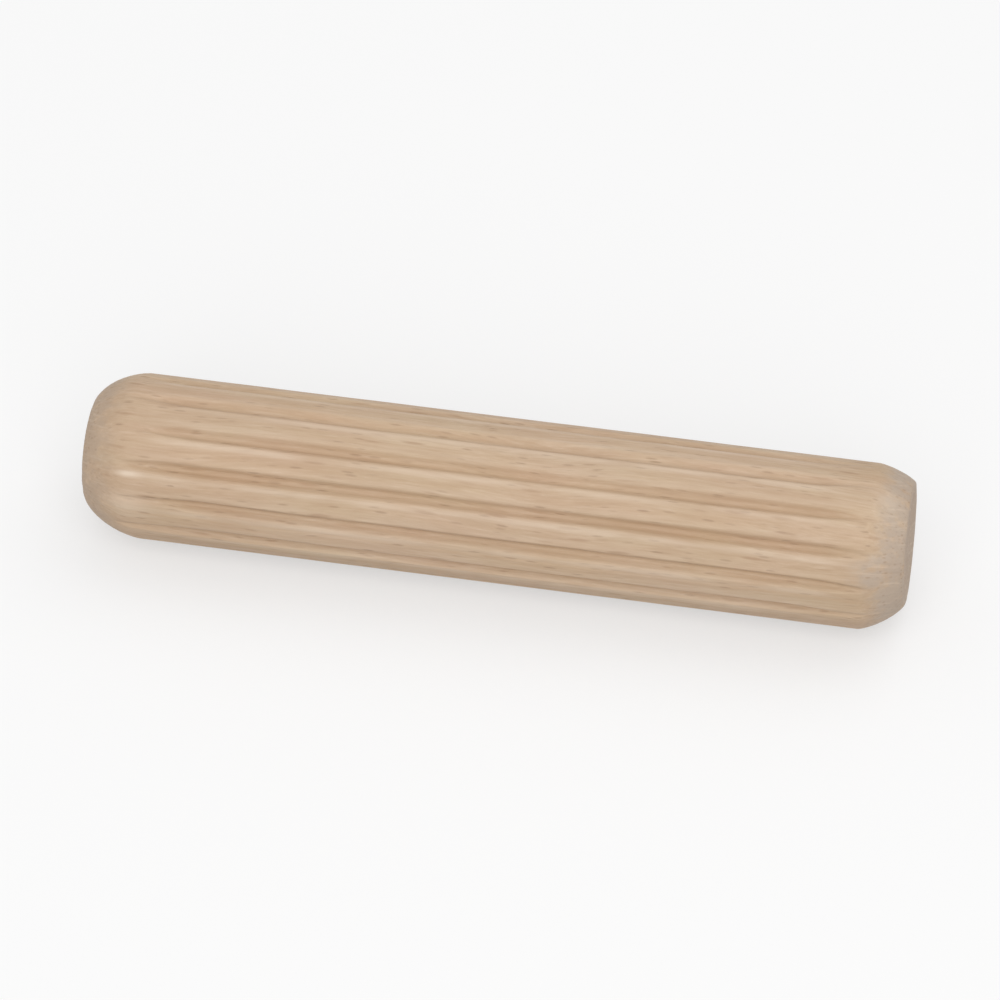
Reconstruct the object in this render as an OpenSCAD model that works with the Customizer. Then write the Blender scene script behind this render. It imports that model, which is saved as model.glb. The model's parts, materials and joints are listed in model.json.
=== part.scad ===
// Fluted wooden dowel pin, lying along X as it comes to rest on a bench, +Z up.
// Origin on the pin's axis at mid-length. Sizes in millimetres.

/* [Pin] */
// Overall length, end face to end face
pin_len = 40; // [20:1:80]
// Diameter over the lands that stand between the flutes
pin_d = 8; // [6.5:0.1:12]

/* [Ends] */
// Length of the tapered chamfer at each end, along the pin
chamfer_len = 2; // [1.2:0.1:3]
// How far the chamfer takes the radius in at each end
chamfer_depth = 1.5; // [0.8:0.1:1.8]
// Radius of the soft shoulder where the barrel turns into the chamfer
shoulder_r = 1.8; // [0.6:0.1:2]
// Radius of the softened edge round each flat end face
end_edge_r = 0.6; // [0.2:0.1:0.8]

/* [Flutes] */
// Number of flutes round the pin, one of them at the very bottom
flute_count = 14; // [8:1:16]
// Width of a flute between the crests of its two edges
flute_w = 0.75; // [0.68:0.01:0.9]
// Depth of a flute below the lands
flute_depth = 0.31; // [0.26:0.01:0.36]
// Radius of the rounded bottom of a flute
flute_bottom_r = 0.2; // [0.1:0.01:0.2]
// Radius of the rounded edge between a flute and the land beside it
land_edge_r = 0.1; // [0.05:0.01:0.1]
// Depth of that edge's crest below the top line of the pin
land_edge_drop = 0.01; // [0.006:0.001:0.011]

/* [Hidden] */
$fn = 96;
pin_r = pin_d / 2;
half_len = pin_len / 2;
// How far a cutting shape passes clear of what it cuts
clear = 1;

// The taper, as an angle to the axis, and how far each rounding reaches along the lines it joins
taper_a = atan2(chamfer_depth, chamfer_len);
shoulder_reach = shoulder_r * tan(taper_a / 2);
edge_reach = end_edge_r * tan((90 - taper_a) / 2);

// Centres of the two roundings, as radius and distance from mid-length
shoulder_at = [pin_r - shoulder_r, half_len - chamfer_len - shoulder_reach];
edge_at = [pin_r - chamfer_depth - edge_reach, half_len - end_edge_r];
taper_normal = [cos(taper_a), sin(taper_a)];

// A flute's bottom and edge circles, seen along the pin: the wall touches both
bottom_at = [0, pin_r - flute_depth + flute_bottom_r];
land_edge_at = [flute_w / 2, pin_r - land_edge_drop - land_edge_r];
span = land_edge_at - bottom_at;
wall_a = atan2(span.y, span.x) + asin((flute_bottom_r + land_edge_r) / norm(span));
wall_normal = [sin(wall_a), -cos(wall_a)];

// A quarter of a disc, which rounds one convex corner of the outline
module quarter_disc(r) {
    intersection() {
        circle(r = r);
        square(r + clear);
    }
}

// Half of the turned outline: radius across, distance from mid-length up
module half_outline() {
    union() {
        polygon([
            [0, 0],
            [pin_r, 0],
            [pin_r, shoulder_at.y],
            shoulder_at + shoulder_r * taper_normal,
            edge_at + end_edge_r * taper_normal,
            [edge_at.x, half_len],
            [0, half_len],
        ]);
        translate(shoulder_at)
            quarter_disc(shoulder_r);
        translate(edge_at)
            quarter_disc(end_edge_r);
    }
}

// The turned pin before it is fluted, standing on Z
module blank() {
    rotate_extrude() {
        half_outline();
        mirror([0, 1])
            half_outline();
    }
}

// Half of a flute's section, open towards the outside of the pin
module half_flute_section() {
    difference() {
        polygon([
            bottom_at,
            bottom_at + flute_bottom_r * wall_normal,
            land_edge_at - land_edge_r * wall_normal,
            land_edge_at,
            [land_edge_at.x, pin_r + clear],
            [0, pin_r + clear],
        ]);
        translate(land_edge_at)
            circle(r = land_edge_r);
    }
}

// A whole flute as a bar to be taken out of the top of the lying pin
module flute_cutter() {
    translate([0, 0, -half_len - clear])
        linear_extrude(height = pin_len + 2 * clear)
            union() {
                half_flute_section();
                mirror([1, 0])
                    half_flute_section();
                translate(bottom_at)
                    circle(r = flute_bottom_r);
            }
}

// The pin: one piece of wood, turned, chamfered at both ends and fluted all the way along
module dowel_pin() {
    color("BurlyWood")
        rotate([90, 0, 90])
            difference() {
                blank();
                for (i = [0 : flute_count - 1])
                    rotate([0, 0, 180 + i * 360 / flute_count])
                        flute_cutter();
            }
}

dowel_pin();
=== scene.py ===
# A fluted beech dowel pin, lying on a pale floor with a flute at the very bottom, +X along it and +Z up
import json
import math

import bpy
import numpy as np
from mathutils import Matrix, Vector


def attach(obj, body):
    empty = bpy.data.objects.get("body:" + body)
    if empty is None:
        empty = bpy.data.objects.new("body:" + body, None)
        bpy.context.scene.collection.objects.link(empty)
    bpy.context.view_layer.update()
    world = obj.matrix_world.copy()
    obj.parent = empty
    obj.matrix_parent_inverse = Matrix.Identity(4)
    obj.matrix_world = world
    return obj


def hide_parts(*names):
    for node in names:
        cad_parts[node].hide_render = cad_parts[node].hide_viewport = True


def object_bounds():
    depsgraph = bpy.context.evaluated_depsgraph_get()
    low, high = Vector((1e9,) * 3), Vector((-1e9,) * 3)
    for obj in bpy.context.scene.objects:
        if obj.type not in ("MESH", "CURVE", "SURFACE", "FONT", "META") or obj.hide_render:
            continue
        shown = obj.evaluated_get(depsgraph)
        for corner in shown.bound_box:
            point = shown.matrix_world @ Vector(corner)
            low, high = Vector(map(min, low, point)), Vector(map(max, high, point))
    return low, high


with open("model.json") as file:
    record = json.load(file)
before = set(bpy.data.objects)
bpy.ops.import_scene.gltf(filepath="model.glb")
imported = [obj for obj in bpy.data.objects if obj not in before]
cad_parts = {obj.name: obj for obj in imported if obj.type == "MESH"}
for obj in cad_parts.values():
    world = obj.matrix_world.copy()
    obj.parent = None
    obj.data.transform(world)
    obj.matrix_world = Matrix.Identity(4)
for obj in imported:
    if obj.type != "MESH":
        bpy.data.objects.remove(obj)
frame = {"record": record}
cad_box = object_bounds()

# Sizes of the pin, in millimetres. Blender works in metres
MM = 0.001
LENGTH = (cad_box[1].x - cad_box[0].x) / MM
LAND_R = frame["record"]["mounts"][0]["dims"]["r_mm"]
FLUTES = 14
FLUTE_W = 0.75
FLUTE_DEPTH = 0.31
FLUTE_BOTTOM_R = 0.2
FLUTE_EDGE_R = 0.1
FLUTE_EDGE_DROP = 0.01
# The angle from one flute to the next
FLUTE_PITCH = 2 * math.pi / FLUTES
# How far the edges between flute, land and chamfer are worn round
WORN = 0.08
# How much shallower a flute is where the end was tumbled round
END_RISE = 0.22
# The shortest and the longest way by which one flute fades in later than another
FADE_LATER = (-0.4, 1.3)
# The flutes were cut a little off centre: the angle round the pin where they are shallowest, and by what
# share of their depth
SHALLOW_SIDE = math.radians(60)
SHALLOWER = 0.25
# Heights of the unevenness: of a flute's floor, the lands, the rim of a face, a chamfer and a face
FLOOR_WAVE = 0.014
LAND_WAVE = 0.006
RIM_WAVE = 0.02
CHAMFER_WAVE = 0.012
SAW_WAVE = 0.02
# The fine lines that planing leaves along the lands: the height of one, how many heights they may add up
# to, how many sets there are, and how far along the pin their coming and going shifts in each radian
GRAIN_RELIEF = 0.004
GRAIN_PEAK = 2
GRAIN_SETS = 4
GRAIN_SKEW = 7
# How far a flute and a line of the grain stray sideways, in radians
FLUTE_STRAY = 0.003
GRAIN_STRAY = 0.004
# How far the roughness of a chamfer turns per millimetre, and the slants of the two saw cuts on a face
CHAMFER_TWIST = 0.2
SAW_SLANTS = (0.3, -0.2)
# Where a land is pale beside a flute: distance from the flute's middle, half width, and how much
# on the side before it and the side after it, going round. The paleness is rubbed wear. The stronger
# side after the flute is also a painted highlight, on the lip below each flute on the front, which faces
# the light
LIP_AT = 0.5
LIP_W = 0.16
LIP_PALE_AND_HIGHLIGHT = (0.4, 1.0)

# The two cut ends, worn differently: the angle round the pin of the full side, then the radius of
# the flat face, how far the face stands back and how far along the pin the chamfer reaches, each for
# the full side and for the side across from it. Fullness is 1 for a straight cone and 2 for a quarter
# of an ellipse. The flutes fade in over the last pair of distances from the end
LEFT_END = {
    "full_side": math.radians(100),
    "face_r": (2.5, 2.27),
    "back": (0, 0.05),
    "reach": (2.3, 3.1),
    "fullness": 1.6,
    "fade": (2.1, 5.0),
}
RIGHT_END = {
    "full_side": math.radians(45),
    "face_r": (3.3, 2.55),
    "back": (0.3, 0.1),
    "reach": (2.1, 2.2),
    "fullness": 1.35,
    "fade": (1.8, 4.3),
}
# Where the tone of the cut wood fades on a chamfer, as an angle: 0 at the face, a right angle at the barrel
CUT_FADE = (0.6, 1.52)
# How a point of a chamfer and of an end face is marked as cut across the grain
CHAMFER_MARK = 0.5
FACE_MARK = 1
# The pin's own marks at its ends, each a soft oval: what it adds to, its place along the pin, the angle
# round it in degrees, half its length, half its width, and its strength. The first is a small pale
# spot, and the second and the third are painted highlights on the lower left and the upper right chamfer
OWN_MARKS = (
    ("rubbed_and_highlit", -17.5, 148, 0.6, 0.17, 2.2),
    # Painted highlight on the lower left chamfer
    ("rubbed_and_highlit", -17.4, 172, 1.0, 0.7, 0.9),
    # Painted highlight on the upper right chamfer
    ("rubbed_and_highlit", 18.6, 102, 0.8, 0.9, 0.8),
    ("end_cut", 17.9, 156, 0.8, 0.9, 0.35),
)

# Columns across one flute and across one land, rings along the barrel, each chamfer and each face
FLUTE_COLUMNS = 17
LAND_COLUMNS = 16
BARREL_RINGS = 110
END_RINGS = 26
FACE_RINGS = 12
# How many half widths of a flute its columns reach to each side, and how the rings crowd to a face's middle
FLUTE_REACH = 1.15
FACE_CROWDING = 1.2
# Points along the bottom and along the edge of half a flute's section
BOTTOM_POINTS = 24
EDGE_POINTS = 12

# Every random draw starts from this
SEED = 11

# Where the middle of the pin lay in the log, its distance from the pith, and the width of a year's growth
PITH = (240.0, -13.0, 9.0)
PITH_R = 15.8
RING_W = 1.9
# How the fibres sway: in repeats to the millimetre of the pin, and by how many millimetres
SWAY_REPEATS = (0.07, 0.12, 0.12)
SWAY = (0.0, 1.6, 1.6)
# The end of each year's growth: between which shares of it the late wood comes, and then goes
LATE_COMES = (0.45, 0.92)
LATE_GOES = (1.0, 0.94)
# The tones of the two cut ends, the left one painted shade and the right one painted light, blend over
# this distance to each side of the middle of the pin
ENDS_BLEND = 10

# The patterns in the wood, in repeats to the millimetre along the fibres, out from the pith and round it
PATCH_REPEATS = (0.09, 0.5, 0.5)
WANDER_REPEATS = (0.03, 0.3, 0.3)
TINT_REPEATS = (0.14, 0.7, 0.7)
STREAK_REPEATS = (0.13, 2.2, 2.2)
FIBRE_REPEATS = (0.55, 11.0, 11.0)
FLECK_REPEATS = (0.34, 0.9, 3.6)
PORE_REPEATS = (0.8, 6.5, 6.5)
CUT_PORE_REPEATS = (1.1, 6.5, 6.5)
RAY_REPEATS = (0.5, 0.5, 5.0)
CUT_PATCH_REPEATS = (0.7, 1.5, 1.5)
RUBBED_AND_HIGHLIT_REPEATS = (0.25, 1.2, 1.2)

# How much each pattern colours the wood, 0 to 1. Late wood: along the grain and on an end face
LATE_SHARE = (0.3, 0.55)
TINT = 0.08
TINT_SHARE = 0.55
DARK_STREAKS = 0.34
PALE_STREAKS = 0.3
DARK_FIBRES = 0.4
PALE_FIBRES = 0.35
FLECK_SHARE = 0.5
PORE_SHARE = 0.5
CUT_PORE_SHARE = 0.4
RAY_SHARE = 0.3
CUT_SHARE = 0.75
FACE_SHARE = 0.35
# Painted shade deep in the flutes, partly the darker tone of compressed wood
FLUTE_SHADE_SHARE = 0.2
# How pale rubbed places get in patches: wear, with painted highlights on one lip of each flute and at two
# marks
RUBBED_AND_HIGHLIT_SHARE = (0.15, 0.5)

# The bump of the wood: how deep flecks and pores lie against the fibres, its strength and its height
FLECK_PIT = 0.2
PORE_PIT = 0.6
BUMP_STRENGTH = 0.6
BUMP_HEIGHT = 0.03
# Roughness at the low and the high fibres, and the specular level
ROUGHNESS = (0.66, 0.5)
SPECULAR_LEVEL = 0.45

# Colours of the wood, linear
WOOD = (0.538, 0.388, 0.258, 1)
PALE_WOOD = (0.582, 0.436, 0.304, 1)
LATE_WOOD = (0.49, 0.325, 0.2, 1)
STREAK = (0.44, 0.29, 0.18, 1)
# Pale wood for the streaks, fibres, rays and rubbed wear, and for painted highlights
PALE_TONE_AND_HIGHLIGHT = (0.7, 0.56, 0.43, 1)
FLECK = (0.34, 0.2, 0.115, 1)
PORE = (0.3, 0.185, 0.115, 1)
# Painted shade deep in a flute, partly the darker tone of compressed wood
FLUTE_SHADE = (0.45, 0.28, 0.16, 1)
# Chamfer tones: the left darker as painted shade, the right paler and greyer as painted light
LEFT_CUT_SHADED = (0.44, 0.33, 0.24, 1)
RIGHT_CUT_LIT = (0.445, 0.362, 0.292, 1)
FACE_CUT = (0.43, 0.29, 0.185, 1)

MIDDLE_GREY = (0.5, 0.5, 0.5, 1)
WHITE = (1, 1, 1, 1)
# The floor: half its side in metres, its colour where it lights the pin and where it is seen, and how
# far it glows where it is seen
FLOOR_HALF = 2.0
FLOOR_BOUNCED = (0.6, 0.6, 0.6, 1)
FLOOR_SHOWN = (0.9, 0.9, 0.9, 1)
FLOOR_GLOW = 0.5


def waves(rng, count, longest, shortest):
    """A smooth random function, mostly between -1 and 1, with waves between the two lengths."""
    lengths = np.exp(rng.uniform(math.log(shortest), math.log(longest), count))
    phases = rng.uniform(0, 2 * math.pi, count)
    sizes = rng.uniform(0.5, 1.0, count) * lengths ** 0.3
    sizes /= np.sqrt((sizes ** 2).sum())

    def value(x):
        x = np.asarray(x, float)[..., None]
        return (sizes * np.sin(2 * math.pi * x / lengths + phases)).sum(-1)

    return value


def soft_min(a, b, width):
    """The smaller of two radii, with the crease between them rounded over that width."""
    near = np.clip(width - np.abs(a - b), 0, None) / width
    return np.minimum(a, b) - near ** 2 * width / 4


def eased(x, low, high):
    """0 below the lower value, 1 above the higher, and smooth between."""
    share = np.clip((x - low) / (high - low), 0, 1)
    return share * share * (3 - 2 * share)


def flute_floor():
    """A flute's section seen along the pin, as angle from its middle and radius from the axis."""
    bottom = np.array([0.0, LAND_R - FLUTE_DEPTH + FLUTE_BOTTOM_R])
    edge = np.array([FLUTE_W / 2, LAND_R - FLUTE_EDGE_DROP - FLUTE_EDGE_R])
    span = edge - bottom
    wall = math.atan2(span[1], span[0]) + math.asin((FLUTE_BOTTOM_R + FLUTE_EDGE_R) / np.hypot(*span))
    a = np.linspace(-math.pi / 2, wall - math.pi / 2, BOTTOM_POINTS)
    b = np.linspace(wall + math.pi / 2, math.pi / 2, EDGE_POINTS)
    arc = bottom + FLUTE_BOTTOM_R * np.stack([np.cos(a), np.sin(a)], -1)
    crest = edge + FLUTE_EDGE_R * np.stack([np.cos(b), np.sin(b)], -1)
    points = np.concatenate([arc, crest])
    return np.arctan2(points[:, 0], points[:, 1]), np.hypot(points[:, 0], points[:, 1])


def column_angles():
    """Angles round the pin, closer together over the flutes, with the first flute at the bottom."""
    half = FLUTE_REACH * FLUTE_W / 2 / LAND_R
    flute = np.linspace(-half, half, FLUTE_COLUMNS, endpoint=False)
    land = np.linspace(half, FLUTE_PITCH - half, LAND_COLUMNS, endpoint=False)
    one = np.concatenate([flute, land])
    return (one[None, :] + FLUTE_PITCH * np.arange(FLUTES)[:, None]).ravel() - math.pi / 2


def end_outline(end, angles, rng):
    """One chamfer, for each ring of it and each column: distance from the end, radius, and how far the
    wood is cut across the grain, 0 to 1."""
    t = np.linspace(0, math.pi / 2, END_RINGS)[:, None]
    side = 0.5 - 0.5 * np.cos(angles - end["full_side"])
    face_r, back, reach = (end[k][0] + (end[k][1] - end[k][0]) * side for k in ("face_r", "back", "reach"))
    rim = waves(rng, count=24, longest=0.6, shortest=0.08)
    face_r = face_r + RIM_WAVE * rim(angles)
    power = 2 / end["fullness"]
    s = back + (reach - back) * (1 - np.cos(t) ** power)
    r = face_r + (LAND_R - face_r) * np.sin(t) ** power
    round_it = waves(rng, count=14, longest=0.5, shortest=0.05)
    along_it = waves(rng, count=6, longest=1.2, shortest=0.25)
    rough = round_it(angles + CHAMFER_TWIST * s) * along_it(s)
    cut = np.broadcast_to(1 - eased(t, *CUT_FADE), s.shape)
    return s, r + CHAMFER_WAVE * rough * np.sin(2 * t) ** 2, cut


def turned_blank(angles, rng):
    """The pin before it is fluted, for each ring and column: x, radius, and how far it is cut across."""
    left_s, left_r, left_cut = end_outline(LEFT_END, angles, rng)
    right_s, right_r, right_cut = end_outline(RIGHT_END, angles, rng)
    share = np.linspace(0, 1, BARREL_RINGS + 2)[1:-1, None]
    from_x = -LENGTH / 2 + left_s[-1]
    to_x = LENGTH / 2 - right_s[-1]
    barrel_x = from_x + (to_x - from_x) * share
    x = np.concatenate([-LENGTH / 2 + left_s, barrel_x, (LENGTH / 2 - right_s)[::-1]])
    blank = np.concatenate([left_r, np.full(barrel_x.shape, LAND_R), right_r[::-1]])
    cut = np.concatenate([left_cut, np.zeros(barrel_x.shape), right_cut[::-1]])
    return x, blank, cut


def flute_floors(x, index, off, rng):
    """The floor of each column's flute as a radius, and how far the flute has faded in, 0 to 1. Index
    says which flute a column belongs to, and off its angle from that flute's middle."""
    floor_a, floor_r = flute_floor()
    floor = np.empty_like(x)
    kept = np.empty_like(x)
    later = np.random.RandomState(SEED + 2).uniform(*FADE_LATER, (FLUTES, 2))
    for i in range(FLUTES):
        depth = waves(rng, count=5, longest=30, shortest=5)
        aside = waves(rng, count=4, longest=40, shortest=9)
        mine = index == i
        across = np.abs(off[mine] + FLUTE_STRAY * aside(x[:, mine]))
        section = np.interp(across, floor_a, floor_r, right=LAND_R + 1)
        deep = 1 - SHALLOWER * math.cos(FLUTE_PITCH * i - math.pi / 2 - SHALLOW_SIDE)
        section = LAND_R - deep * (LAND_R - section)
        fade = eased(x[:, mine] + LENGTH / 2 - later[i, 0], *LEFT_END["fade"])
        fade = fade * eased(LENGTH / 2 - x[:, mine] - later[i, 1], *RIGHT_END["fade"])
        floor[:, mine] = section + FLOOR_WAVE * (depth(x[:, mine]) - 1) + END_RISE * (1 - fade)
        kept[:, mine] = fade
    return floor, kept


def grain_lines(x, angles):
    """Fine lines along the pin that come and go, as height from -GRAIN_PEAK to GRAIN_PEAK."""
    rng = np.random.RandomState(SEED + 3)
    height = np.zeros_like(x)
    for _ in range(GRAIN_SETS):
        aside = GRAIN_STRAY * waves(rng, count=5, longest=30, shortest=6)(x)
        lines = waves(rng, count=16, longest=0.16, shortest=0.045)(angles + aside)
        strength = waves(rng, count=6, longest=14, shortest=2.5)(x + GRAIN_SKEW * angles)
        height += 0.5 * lines * (1 + strength)
    return np.clip(height, -GRAIN_PEAK, GRAIN_PEAK)


def own_marks(name, x, angles):
    """What the pin's own marks add to one of the marks of build_pin."""
    added = np.zeros_like(x)
    for kind, at_x, at_degrees, half_length, half_width, strength in OWN_MARKS:
        if kind == name:
            along = (x - at_x) / half_length
            across = (angles - math.radians(at_degrees)) * LAND_R / half_width
            added += strength * np.exp(-along ** 2 - across ** 2)
    return added


def pin_grid():
    """The whole skin between the two end faces: x, angle, radius, and the marks of build_pin."""
    rng = np.random.RandomState(SEED)
    angles = column_angles()
    x, blank, cut = turned_blank(angles, rng)
    index = np.round((angles + math.pi / 2) / FLUTE_PITCH).astype(int) % FLUTES
    off = (angles + math.pi / 2 + FLUTE_PITCH / 2) % FLUTE_PITCH - FLUTE_PITCH / 2
    floor, kept = flute_floors(x, index, off, rng)
    uneven = waves(rng, count=8, longest=30, shortest=4)
    worn = LAND_WAVE * (uneven(x) - 1) * np.cos(2 * angles) ** 2
    blank = blank + worn + GRAIN_RELIEF * (grain_lines(x, angles) - GRAIN_PEAK)
    radius = soft_min(blank, floor, WORN)
    # Pale lips beside the flutes: rubbed wear, and on the side after each flute also a painted highlight
    lips = np.exp(-((np.abs(off) * LAND_R - LIP_AT) / LIP_W) ** 2) * kept
    lips *= np.where(off < 0, *LIP_PALE_AND_HIGHLIGHT)
    end_cut = CHAMFER_MARK * cut + own_marks("end_cut", x, angles)
    marks = {
        "fluted": np.clip((blank - radius) / FLUTE_DEPTH, 0, 1),
        "end_cut": np.minimum(end_cut, CHAMFER_MARK),
        "rubbed_and_highlit": lips + own_marks("rubbed_and_highlit", x, angles),
    }
    return x, angles, radius, marks


def face_rings(x, angles, radius, outward, rng):
    """The rings of one end face, from just inside its rim to just outside the middle. Outward is -1 for
    the left end and 1 for the right. The saw marks fade out towards the rim."""
    share = np.linspace(1, 0, FACE_RINGS + 1)[1:-1, None] ** FACE_CROWDING
    r = radius * share
    y, z = r * np.cos(angles), r * np.sin(angles)
    saw = waves(rng, count=10, longest=2.5, shortest=0.25)
    cross = waves(rng, count=10, longest=2.5, shortest=0.25)
    lines = saw(y + SAW_SLANTS[0] * z) + cross(z + SAW_SLANTS[1] * y)
    dish = SAW_WAVE * (lines - 2) * (1 - share ** 6)
    mean_x = x * share + x.mean() * (1 - share)
    return mean_x + outward * dish, y, z


def grid_faces(count, columns):
    """Quads between the rings, and triangles from the first and the last ring to the two middles."""
    ring = np.arange(count - 1)[:, None] * columns
    column = np.arange(columns)[None, :]
    beside = (column + 1) % columns
    quads = np.stack([ring + column, ring + beside, ring + columns + beside, ring + columns + column], -1)
    faces = quads.reshape(-1, 4).tolist()
    left_middle, right_middle = count * columns, count * columns + 1
    last_ring = (count - 1) * columns
    for here in range(columns):
        after = (here + 1) % columns
        faces.append([left_middle, after, here])
        faces.append([right_middle, last_ring + here, last_ring + after])
    return faces


def build_pin():
    """One closed mesh of the whole pin. Its points are marked with how deep they lie in a flute, 0 to
    1, how they were cut: 0 along the grain, 0.5 on a chamfer and 1 on an end face, and how pale they
    are, 0 to 1 beside the flutes and more at the pin's own marks: rubbed wear, with painted highlights
    on the lip on one side of each flute and at two marks on the chamfers."""
    x, angles, radius, marks = pin_grid()
    rng = np.random.RandomState(SEED + 1)
    y, z = radius * np.cos(angles), radius * np.sin(angles)
    left = face_rings(x[0], angles, radius[0], -1, rng)
    right = face_rings(x[-1], angles, radius[-1], 1, rng)
    rings = [np.concatenate([a[::-1], skin, b]) for a, skin, b in zip(left, (x, y, z), right)]
    count, columns = rings[0].shape
    points = np.stack(rings, -1).reshape(-1, 3)
    middles = [points[:columns].mean(0), points[-columns:].mean(0)]
    points = np.concatenate([points, middles]) * MM

    mesh = bpy.data.meshes.new("dowel_pin_wood")
    mesh.from_pydata(points.tolist(), [], grid_faces(count, columns))
    for name, on_face in (("fluted", 0), ("end_cut", FACE_MARK), ("rubbed_and_highlit", 0)):
        face = np.full((FACE_RINGS - 1, columns), on_face)
        values = np.concatenate([face, marks[name], face]).ravel()
        values = np.append(values, [on_face, on_face])
        attribute = mesh.attributes.new(name, "FLOAT", "POINT")
        attribute.data.foreach_set("value", values.astype(np.float32))
    mesh.polygons.foreach_set("use_smooth", [True] * len(mesh.polygons))
    mesh.update()
    pin = bpy.data.objects.new("dowel_pin_wood", mesh)
    bpy.context.scene.collection.objects.link(pin)
    return pin


class Tree:
    """Short calls that add nodes to a material or world and join them up."""

    # The sockets of a Mix node that mixes colours
    MIX_SHARE, MIX_A, MIX_B, MIX_RESULT = 0, 6, 7, 2

    def __init__(self, owner):
        owner.use_nodes = True
        self.tree = owner.node_tree
        self.tree.nodes.clear()

    def add(self, kind, **settings):
        node = self.tree.nodes.new(kind)
        for name, value in settings.items():
            setattr(node, name, value)
        return node

    def put(self, socket, value):
        """Joins an output to a socket, or writes a plain value into it."""
        if isinstance(value, bpy.types.NodeSocket):
            self.tree.links.new(value, socket)
        else:
            socket.default_value = value

    def math(self, operation, a, b=0.0):
        node = self.add("ShaderNodeMath", operation=operation)
        self.put(node.inputs[0], a)
        self.put(node.inputs[1], b)
        return node.outputs[0]

    def vector(self, operation, a, b):
        node = self.add("ShaderNodeVectorMath", operation=operation)
        self.put(node.inputs[0], a)
        self.put(node.inputs[1], b)
        return node.outputs[0]

    def parts(self, vector):
        """The X, Y and Z of a vector, by those names."""
        node = self.add("ShaderNodeSeparateXYZ")
        self.put(node.inputs[0], vector)
        return node.outputs

    def ramp(self, value, low, high, to_low=0.0, to_high=1.0):
        """Eases a value from one range to another, and holds it there."""
        node = self.add("ShaderNodeMapRange", interpolation_type="SMOOTHSTEP")
        for name, x in (("Value", value), ("From Min", low), ("From Max", high)):
            self.put(node.inputs[name], x)
        self.put(node.inputs["To Min"], to_low)
        self.put(node.inputs["To Max"], to_high)
        return node.outputs[0]

    def noise(self, vector, detail=2.0, roughness=0.5, output="Fac"):
        """Soft noise, one wave of it to each unit of the vector. Its output is Fac or Color."""
        node = self.add("ShaderNodeTexNoise")
        self.put(node.inputs["Vector"], vector)
        self.put(node.inputs["Scale"], 1.0)
        self.put(node.inputs["Detail"], detail)
        self.put(node.inputs["Roughness"], roughness)
        return node.outputs[output]

    def cells(self, vector):
        """Distance to the nearest of many scattered points, and a random colour for each."""
        node = self.add("ShaderNodeTexVoronoi")
        self.put(node.inputs["Vector"], vector)
        self.put(node.inputs["Scale"], 1.0)
        return node.outputs["Distance"], node.outputs["Color"]

    def blend(self, share, a, b, blend_type="MIX"):
        node = self.add("ShaderNodeMix", data_type="RGBA", blend_type=blend_type)
        self.put(node.inputs[self.MIX_SHARE], share)
        self.put(node.inputs[self.MIX_A], a)
        self.put(node.inputs[self.MIX_B], b)
        return node.outputs[self.MIX_RESULT]

    def attribute(self, name):
        node = self.add("ShaderNodeAttribute", attribute_name=name)
        return node.outputs["Fac"]


def wood_space(tree):
    """Where a point is in the log, in millimetres: along the fibres, out from the pith and round it."""
    place = tree.add("ShaderNodeTexCoord").outputs["Object"]
    mm = tree.vector("MULTIPLY", place, (1 / MM, 1 / MM, 1 / MM))
    slow = tree.vector("MULTIPLY", mm, SWAY_REPEATS)
    sway = tree.vector("SUBTRACT", tree.noise(slow, detail=1.0, output="Color"), (0.5, 0.5, 0.5))
    sway = tree.vector("MULTIPLY", sway, SWAY)
    part = tree.parts(tree.vector("ADD", tree.vector("ADD", mm, sway), PITH))
    y, z = part["Y"], part["Z"]
    out = tree.math("SQRT", tree.math("ADD", tree.math("MULTIPLY", y, y), tree.math("MULTIPLY", z, z)))
    turn = tree.math("MULTIPLY", tree.math("ARCTAN2", z, y), PITH_R)
    wood = tree.add("ShaderNodeCombineXYZ")
    for socket, value in zip(wood.inputs, (part["X"], out, turn)):
        tree.put(socket, value)
    return wood.outputs[0]


def growth_rings(tree, wood, colour):
    """Darker late wood at the end of each year's growth, clearer where the wood is cut across."""
    wander = tree.noise(tree.vector("MULTIPLY", wood, WANDER_REPEATS))
    years = tree.math("ADD", tree.math("DIVIDE", tree.parts(wood)["Y"], RING_W), wander)
    season = tree.math("FRACT", years)
    late = tree.math("MULTIPLY", tree.ramp(season, *LATE_COMES), tree.ramp(season, *LATE_GOES))
    shown = tree.ramp(tree.attribute("end_cut"), 0.4, 1.0, *LATE_SHARE)
    return tree.blend(tree.math("MULTIPLY", late, shown), colour, LATE_WOOD)


def streaks(tree, wood, colour):
    """Broad warmer and cooler patches, and dark and pale streaks along the fibres."""
    warm = tree.noise(tree.vector("MULTIPLY", wood, TINT_REPEATS), roughness=0.6, output="Color")
    colour = tree.blend(TINT_SHARE, colour, tree.blend(TINT, MIDDLE_GREY, warm), "OVERLAY")
    streak = tree.noise(tree.vector("MULTIPLY", wood, STREAK_REPEATS), detail=3.0, roughness=0.65)
    colour = tree.blend(tree.ramp(streak, 0.6, 0.34, to_high=DARK_STREAKS), colour, STREAK)
    return tree.blend(tree.ramp(streak, 0.56, 0.8, to_high=PALE_STREAKS), colour, PALE_TONE_AND_HIGHLIGHT)


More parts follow.
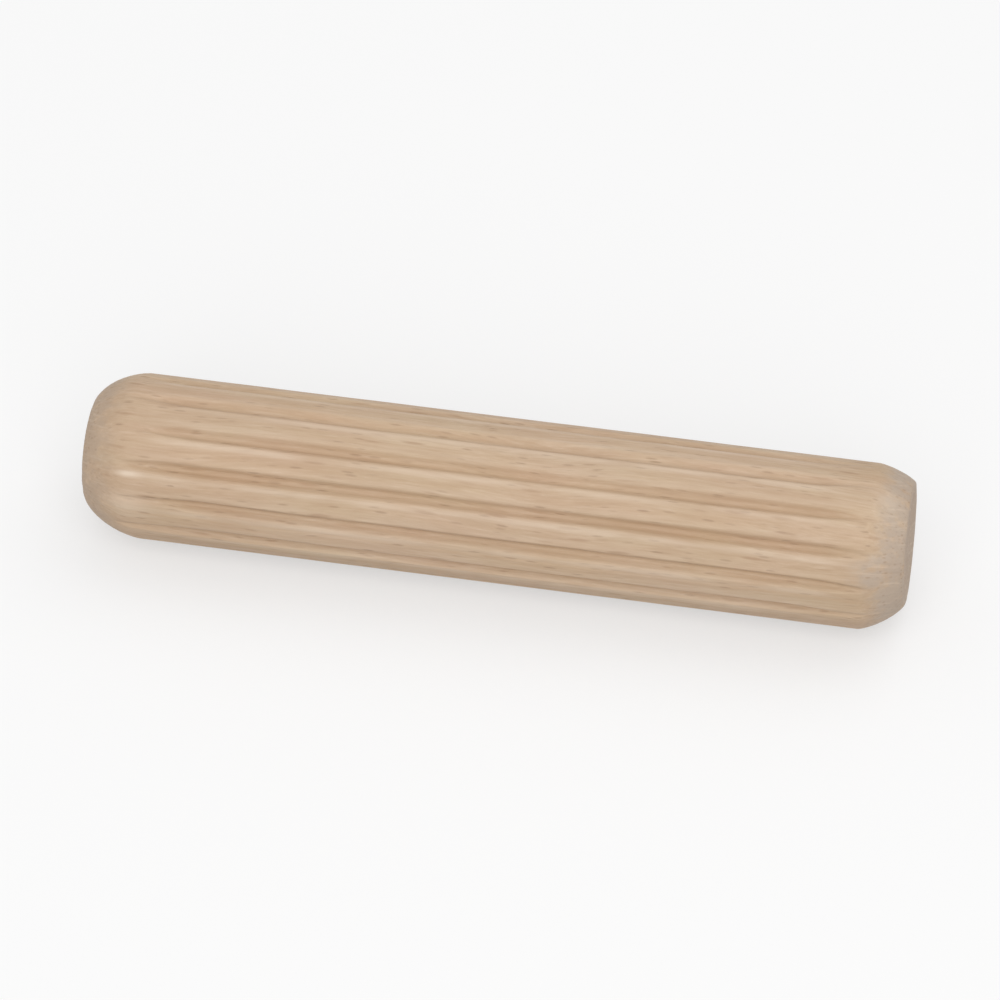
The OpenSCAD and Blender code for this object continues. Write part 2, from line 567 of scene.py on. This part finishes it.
def flecks_and_pores(tree, wood, colour):
    """Ray flecks and pores on the clean wood. Returns the colour and how deep the marks lie."""
    near, tone = tree.cells(tree.vector("MULTIPLY", wood, FLECK_REPEATS))
    fleck = tree.math("MULTIPLY", tree.ramp(near, 0.27, 0.1), tree.ramp(tone, 0.2, 0.8))
    colour = tree.blend(tree.math("MULTIPLY", fleck, FLECK_SHARE), colour, FLECK)
    near, tone = tree.cells(tree.vector("MULTIPLY", wood, PORE_REPEATS))
    pore = tree.math("MULTIPLY", tree.ramp(near, 0.34, 0.12), tree.ramp(tone, 0.3, 0.9))
    colour = tree.blend(tree.math("MULTIPLY", pore, PORE_SHARE), colour, PORE)
    pits = tree.math("ADD", tree.math("MULTIPLY", fleck, FLECK_PIT), tree.math("MULTIPLY", pore, PORE_PIT))
    return colour, pits


def cut_ends(tree, wood, colour):
    """Patchy grey chamfers, the left one darker as painted shade and the right one paler and greyer as
    painted light, and browner end faces, speckled with cut pores and lined by the rays.
    """
    end_cut = tree.attribute("end_cut")
    patch = tree.noise(tree.vector("MULTIPLY", wood, CUT_PATCH_REPEATS), detail=3.0, roughness=0.65)
    ragged = tree.math("MULTIPLY", tree.ramp(patch, 0.3, 0.7, 0.4, 1.6), end_cut)
    grey = tree.ramp(ragged, 0.0, 0.6, to_high=CUT_SHARE)
    # Left and right chamfer tones: painted shade on the left, painted light on the right
    right = tree.ramp(tree.parts(wood)["X"], PITH[0] - ENDS_BLEND, PITH[0] + ENDS_BLEND)
    colour = tree.blend(grey, colour, tree.blend(right, LEFT_CUT_SHADED, RIGHT_CUT_LIT))
    colour = tree.blend(tree.ramp(end_cut, 0.6, 1.0, to_high=FACE_SHARE), colour, FACE_CUT)

    shown = tree.ramp(end_cut, 0.1, 0.5)
    near, tone = tree.cells(tree.vector("MULTIPLY", wood, CUT_PORE_REPEATS))
    speck = tree.math("MULTIPLY", tree.ramp(near, 0.4, 0.16), tree.ramp(tone, 0.25, 0.8))
    speck = tree.math("MULTIPLY", speck, shown)
    colour = tree.blend(tree.math("MULTIPLY", speck, CUT_PORE_SHARE), colour, PORE)
    ray = tree.noise(tree.vector("MULTIPLY", wood, RAY_REPEATS), roughness=0.6)
    ray = tree.math("MULTIPLY", tree.ramp(ray, 0.52, 0.7), shown)
    return tree.blend(tree.math("MULTIPLY", ray, RAY_SHARE), colour, PALE_TONE_AND_HIGHLIGHT)


def worn_and_highlit(tree, wood, colour):
    """What use leaves, and painted light: pale where the wood is rubbed, with painted highlights on one
    lip of each flute and at two marks on the chamfers, in patches.
    """
    patch = tree.noise(tree.vector("MULTIPLY", wood, RUBBED_AND_HIGHLIT_REPEATS))
    # Rubbed wear and painted highlights, broken into patches
    rubbed_and_highlit = tree.math("MULTIPLY", tree.attribute("rubbed_and_highlit"), tree.ramp(patch, 0.3, 0.6, *RUBBED_AND_HIGHLIT_SHARE))
    return tree.blend(rubbed_and_highlit, colour, PALE_TONE_AND_HIGHLIGHT)


def beech():
    """Bare beech: slow rings, fine fibres, small dark flecks and pores, browner where cut across, with
    painted shade deep in the flutes and painted light on the chamfers and on one lip of each flute.
    """
    material = bpy.data.materials.new("beech")
    tree = Tree(material)
    wood = wood_space(tree)
    patch = tree.noise(tree.vector("MULTIPLY", wood, PATCH_REPEATS), roughness=0.55)
    colour = tree.blend(tree.ramp(patch, 0.3, 0.7), WOOD, PALE_WOOD)
    colour = growth_rings(tree, wood, colour)
    colour = streaks(tree, wood, colour)
    fibre = tree.noise(tree.vector("MULTIPLY", wood, FIBRE_REPEATS), detail=4.0, roughness=0.7)
    colour = tree.blend(tree.ramp(fibre, 0.62, 0.3, to_high=DARK_FIBRES), colour, STREAK)
    colour = tree.blend(tree.ramp(fibre, 0.55, 0.8, to_high=PALE_FIBRES), colour, PALE_TONE_AND_HIGHLIGHT)
    colour, pits = flecks_and_pores(tree, wood, colour)
    # Darker deep in the flutes: painted shade, partly the darker tone of compressed wood
    deep = tree.math("POWER", tree.attribute("fluted"), 2.0)
    colour = tree.blend(tree.math("MULTIPLY", deep, FLUTE_SHADE_SHARE), colour, FLUTE_SHADE)
    colour = cut_ends(tree, wood, colour)
    colour = worn_and_highlit(tree, wood, colour)

    bump = tree.add("ShaderNodeBump")
    tree.put(bump.inputs["Strength"], BUMP_STRENGTH)
    tree.put(bump.inputs["Distance"], BUMP_HEIGHT * MM)
    tree.put(bump.inputs["Height"], tree.math("SUBTRACT", fibre, pits))

    shader = tree.add("ShaderNodeBsdfPrincipled")
    tree.put(shader.inputs["Base Color"], colour)
    tree.put(shader.inputs["Roughness"], tree.ramp(fibre, 0.3, 0.7, *ROUGHNESS))
    tree.put(shader.inputs["Specular IOR Level"], SPECULAR_LEVEL)
    tree.put(shader.inputs["Normal"], bump.outputs[0])
    out = tree.add("ShaderNodeOutputMaterial")
    tree.put(out.inputs["Surface"], shader.outputs[0])
    return material


def seen_directly(tree):
    """1 for the camera and for what is seen in a reflection or through glass, else 0."""
    path = tree.add("ShaderNodeLightPath").outputs
    seen = tree.math("MAXIMUM", path["Is Camera Ray"], path["Is Glossy Ray"])
    return tree.math("MAXIMUM", seen, path["Is Transmission Ray"])


def mixed(tree, share, a, b):
    """One shader blended into another by a share."""
    mix = tree.add("ShaderNodeMixShader")
    tree.put(mix.inputs[0], share)
    tree.put(mix.inputs[1], a)
    tree.put(mix.inputs[2], b)
    return mix.outputs[0]


def floor_paint():
    """Pale paint, lifted towards white where it is seen, its shadow kept. What it throws back on the pin
    is darker, as the pins round the one in the photo are darker than white."""
    material = bpy.data.materials.new("floor")
    tree = Tree(material)
    paint = tree.add("ShaderNodeBsdfDiffuse")
    tree.put(paint.inputs["Color"], tree.blend(seen_directly(tree), FLOOR_BOUNCED, FLOOR_SHOWN))
    glow = tree.add("ShaderNodeEmission")
    lifted = tree.math("MULTIPLY", seen_directly(tree), FLOOR_GLOW)
    out = tree.add("ShaderNodeOutputMaterial")
    tree.put(out.inputs["Surface"], mixed(tree, lifted, paint.outputs[0], glow.outputs[0]))
    return material


def pale_floor():
    """A plain pale floor under the pin."""
    half, z = FLOOR_HALF, cad_box[0].z
    corners = [(-half, -half, z), (half, -half, z), (half, half, z), (-half, half, z)]
    mesh = bpy.data.meshes.new("floor")
    mesh.from_pydata(corners, [], [(0, 1, 2, 3)])
    mesh.materials.append(floor_paint())
    floor = bpy.data.objects.new("floor", mesh)
    bpy.context.scene.collection.objects.link(floor)


def white_world(strength):
    """Even white light from all round, and white where the world itself is seen."""
    world = bpy.data.worlds.new("studio")
    bpy.context.scene.world = world
    tree = Tree(world)
    light = tree.add("ShaderNodeBackground")
    tree.put(light.inputs["Strength"], strength)
    tree.put(light.inputs["Color"], WHITE)
    backdrop = tree.add("ShaderNodeBackground")
    tree.put(backdrop.inputs["Color"], WHITE)
    out = tree.add("ShaderNodeOutputWorld")
    surface = mixed(tree, seen_directly(tree), light.outputs[0], backdrop.outputs[0])
    tree.put(out.inputs["Surface"], surface)


def toward(azimuth, elevation):
    """The direction from the pin towards a camera or lamp, azimuth 0 being in front of it."""
    a, e = math.radians(azimuth), math.radians(elevation)
    return Vector((math.sin(a) * math.cos(e), -math.cos(a) * math.cos(e), math.sin(e)))


def aim(thing, azimuth, elevation, distance):
    """Stands a lamp or camera off in that direction and turns it to the middle of the pin."""
    back = toward(azimuth, elevation)
    thing.location = back * distance
    thing.rotation_mode = "QUATERNION"
    thing.rotation_quaternion = (-back).to_track_quat("-Z", "Y")
    bpy.context.scene.collection.objects.link(thing)


def soft_lamp(name, azimuth, elevation, distance, size, watts):
    """A square lamp that faces the pin."""
    data = bpy.data.lights.new(name, "AREA")
    data.shape = "SQUARE"
    data.size = size
    data.energy = watts
    aim(bpy.data.objects.new(name, data), azimuth, elevation, distance)


def camera(azimuth, elevation, lens, frame_width):
    """A long lens at the photograph's angle, with the pin across most of the frame."""
    data = bpy.data.cameras.new("camera")
    data.lens = lens
    distance = frame_width / data.sensor_width * lens
    data.clip_start = distance / 100
    data.clip_end = distance * 100
    eye = bpy.data.objects.new("camera", data)
    aim(eye, azimuth, elevation, distance)
    bpy.context.scene.camera = eye


def studio():
    """Floor, light and camera. Angles are in degrees, distances and sizes in metres."""
    bpy.context.scene.view_settings.view_transform = "Standard"
    pale_floor()
    white_world(strength=0.62)
    soft_lamp("key", azimuth=8, elevation=42, distance=0.5, size=0.5, watts=1.39)
    soft_lamp("back", azimuth=145, elevation=60, distance=0.5, size=0.4, watts=0.4)
    camera(azimuth=10, elevation=45, lens=250, frame_width=0.048)


pin = build_pin()
pin.data.materials.append(beech())
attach(pin, "root")
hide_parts("dowel_pin")
studio()
